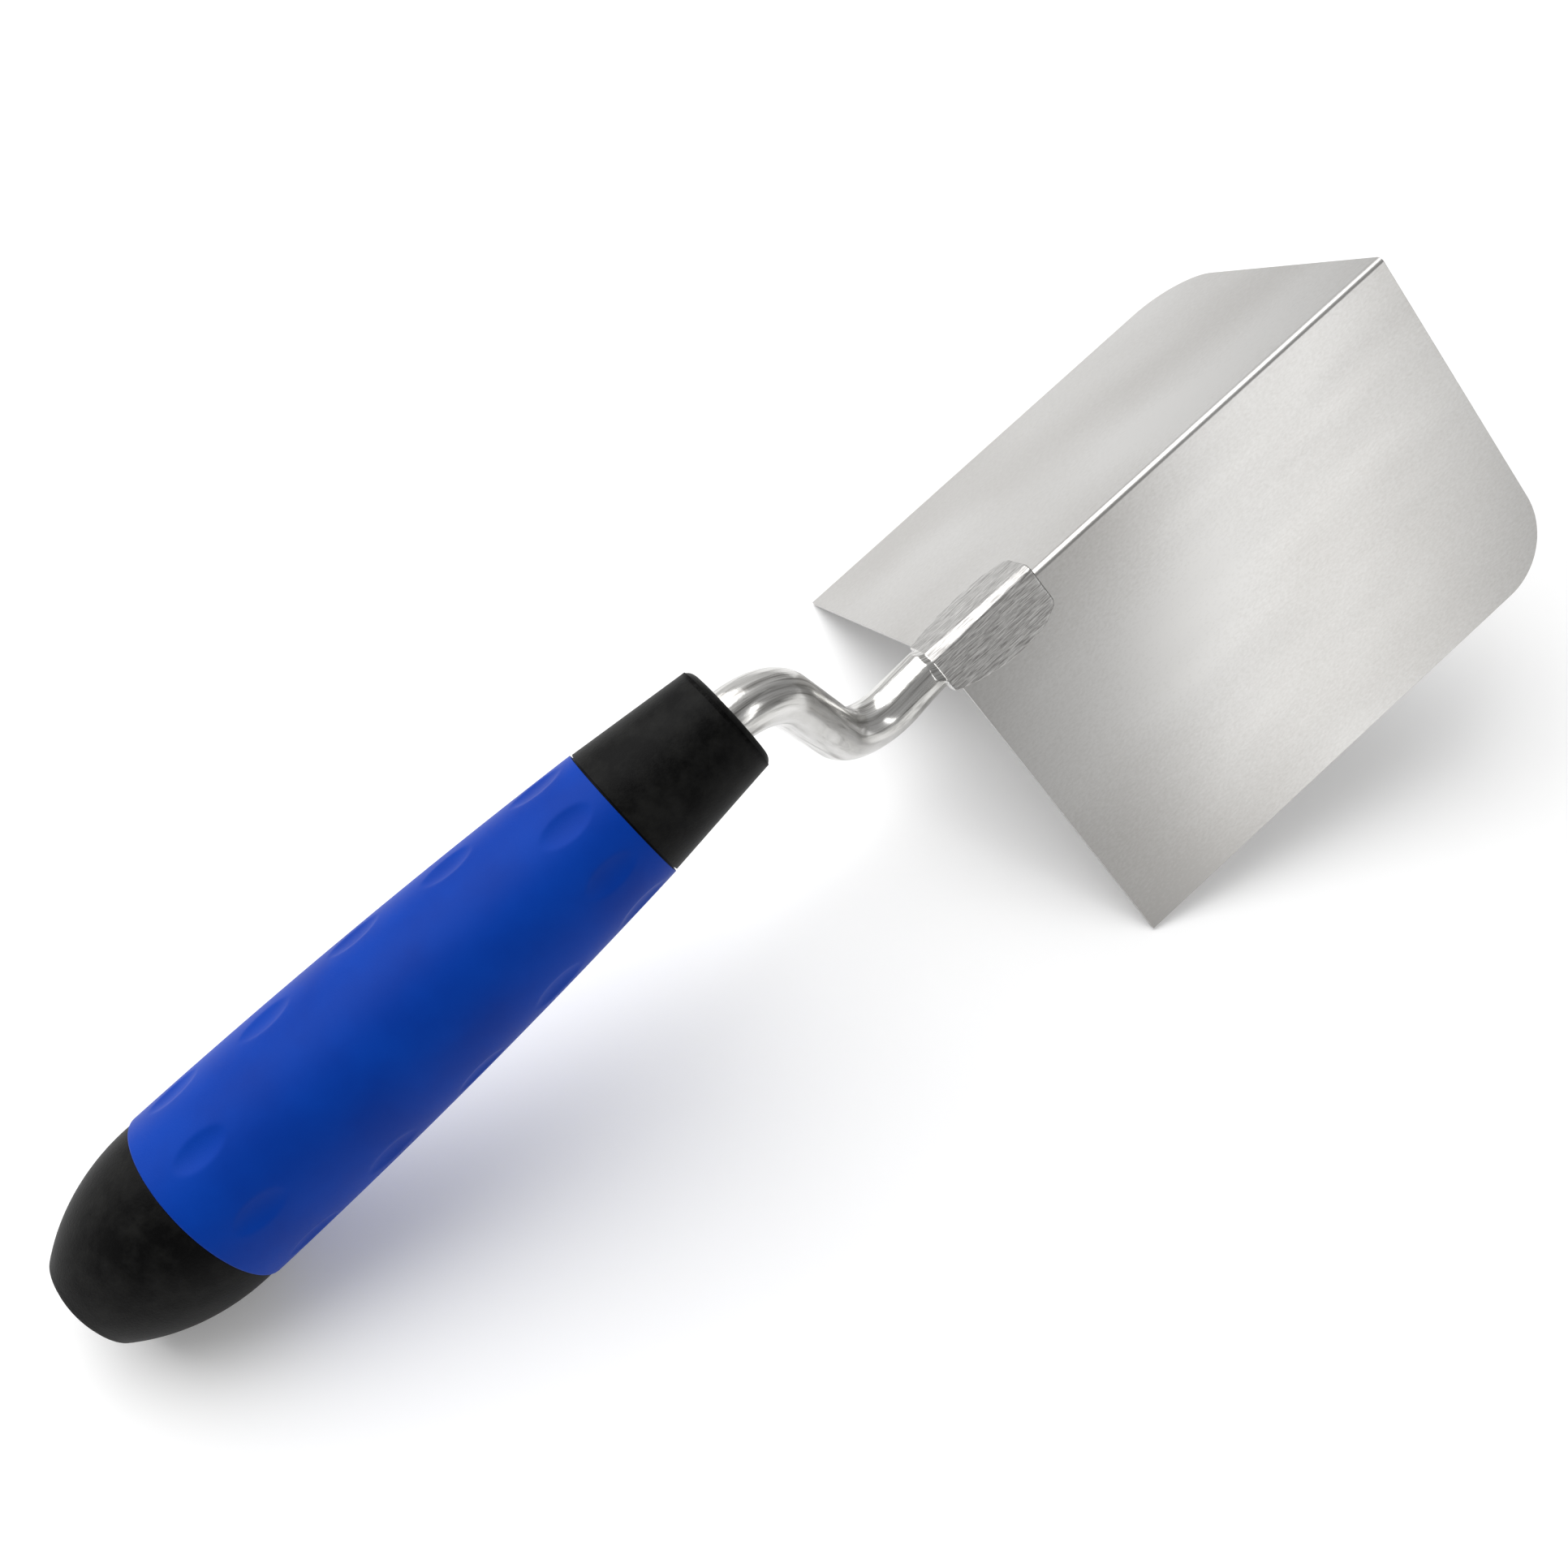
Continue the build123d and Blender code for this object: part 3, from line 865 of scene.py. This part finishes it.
def grindingBlock(out, across):
    # what a belt takes off the rod over one face of the foot, with a slope up to the round rod
    startFresh()
    rise = foot["grindRise"]
    slide = rise / tan(radians(foot["blendSlope"]))
    turn = Matrix(((1, 0, 0), across, out)).transposed()
    isCrest = abs(out.y) < 0.1
    height = crestHeight() if isCrest else foot["thickness"]
    spot = turn @ Vector(((foot["reach"] - foot["overhang"]) / 2, 0, height + rise / 2))
    bpy.ops.mesh.primitive_cube_add(size=1, location=spot, rotation=turn.to_euler())
    piece = bpy.context.object
    piece.scale = (foot["reach"] + foot["overhang"], foot["grindWidth"], rise)
    bpy.ops.object.transform_apply(location=True, rotation=True, scale=True)
    pick(piece, lambda spot, part: spot.x < 0 and spot.dot(out) > height + rise / 2)
    bpy.ops.transform.translate(value=(-slide, 0, 0))
    doneEditing()
    if isCrest:
        # the crest is ground a little deeper, and so wider, towards the rear
        fall = (foot["crestRear"] - foot["crestWidth"]) / 2 / tan(halfFold)
        pick(piece, lambda spot, part: spot.x < 0 and spot.z < height + rise / 2)
        bpy.ops.transform.translate(value=(0, 0, -fall))
        doneEditing()
    return piece


def crestHeight():
    return foot["thickness"] / sin(halfFold) - foot["crestWidth"] / 2 / tan(halfFold)


def makeTang():
    # the barbed spike inside the core
    slim, spacing = tang["slim"], tang["barbSpacing"]
    radius = tang["radius"] - slim
    end = handleLength - tang["length"]
    outline = [(0.0, end + slim), (radius, end + tang["taper"])]
    for number in range(tang["barbs"]):
        barb = end + tang["firstBarb"] + spacing * number
        outline += [(radius, barb - spacing / 2), (radius + tang["barbHeight"], barb - slim)]
        outline += [(radius, barb - slim)]
    root = shoulder + tang["intoRod"]
    outline += [(radius, root), (0.0, root)]
    piece = spinOutline(outline, tang["around"], False)
    piece.data.transform(place.inverted() @ gripPlace)
    return piece


def makeShank():
    piece = makeRod()
    combine(piece, grindingBlock(wingOut, wingDown), "DIFFERENCE")
    rightOut, rightUp = Vector((0, -wingOut.y, wingOut.z)), Vector((0, wingDown.y, -wingDown.z))
    combine(piece, grindingBlock(rightOut, rightUp), "DIFFERENCE")
    left = makeFlank()
    useOnly(left)
    bpy.ops.object.duplicate()
    right = bpy.context.object
    pick(right, anywhere)
    bpy.ops.transform.resize(value=(1, -1, 1), center_override=(0, 0, 0))
    doneEditing()
    tidyShell(right)
    combine(left, right, "UNION")
    combine(piece, left, "UNION")
    combine(piece, grindingBlock(Vector((0, 0, 1)), Vector((0, 1, 0))), "DIFFERENCE")
    # forged in one with the rod, so every edge is a little soft
    applyModifier(piece, "REMESH", mode="VOXEL", voxel_size=foot["voxel"])
    applyModifier(piece, "SMOOTH", factor=0.5, iterations=3)
    spike = makeTang()
    useOnly(piece)
    spike.select_set(True)
    bpy.ops.object.join()
    # the rod is polished, and the foot in front of it linished
    for face in piece.data.polygons:
        face.material_index = int(face.center.x > 0.3 - foot["overhang"])
    settle(piece, place, "shank_forging", [polishedRod(), linishedSteel()], 50)
    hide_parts("shank")


makeShank()
print("shank is bent and ground")


def dressNode(name, material):
    slots = frame["nodes"][name].data.materials
    if len(slots):
        for number in range(len(slots)):
            slots[number] = material
    else:
        slots.append(material)


dressNode("handle_core", corePlastic())
dressNode("spot_welds", weldScale())
print("hidden pieces are finished")
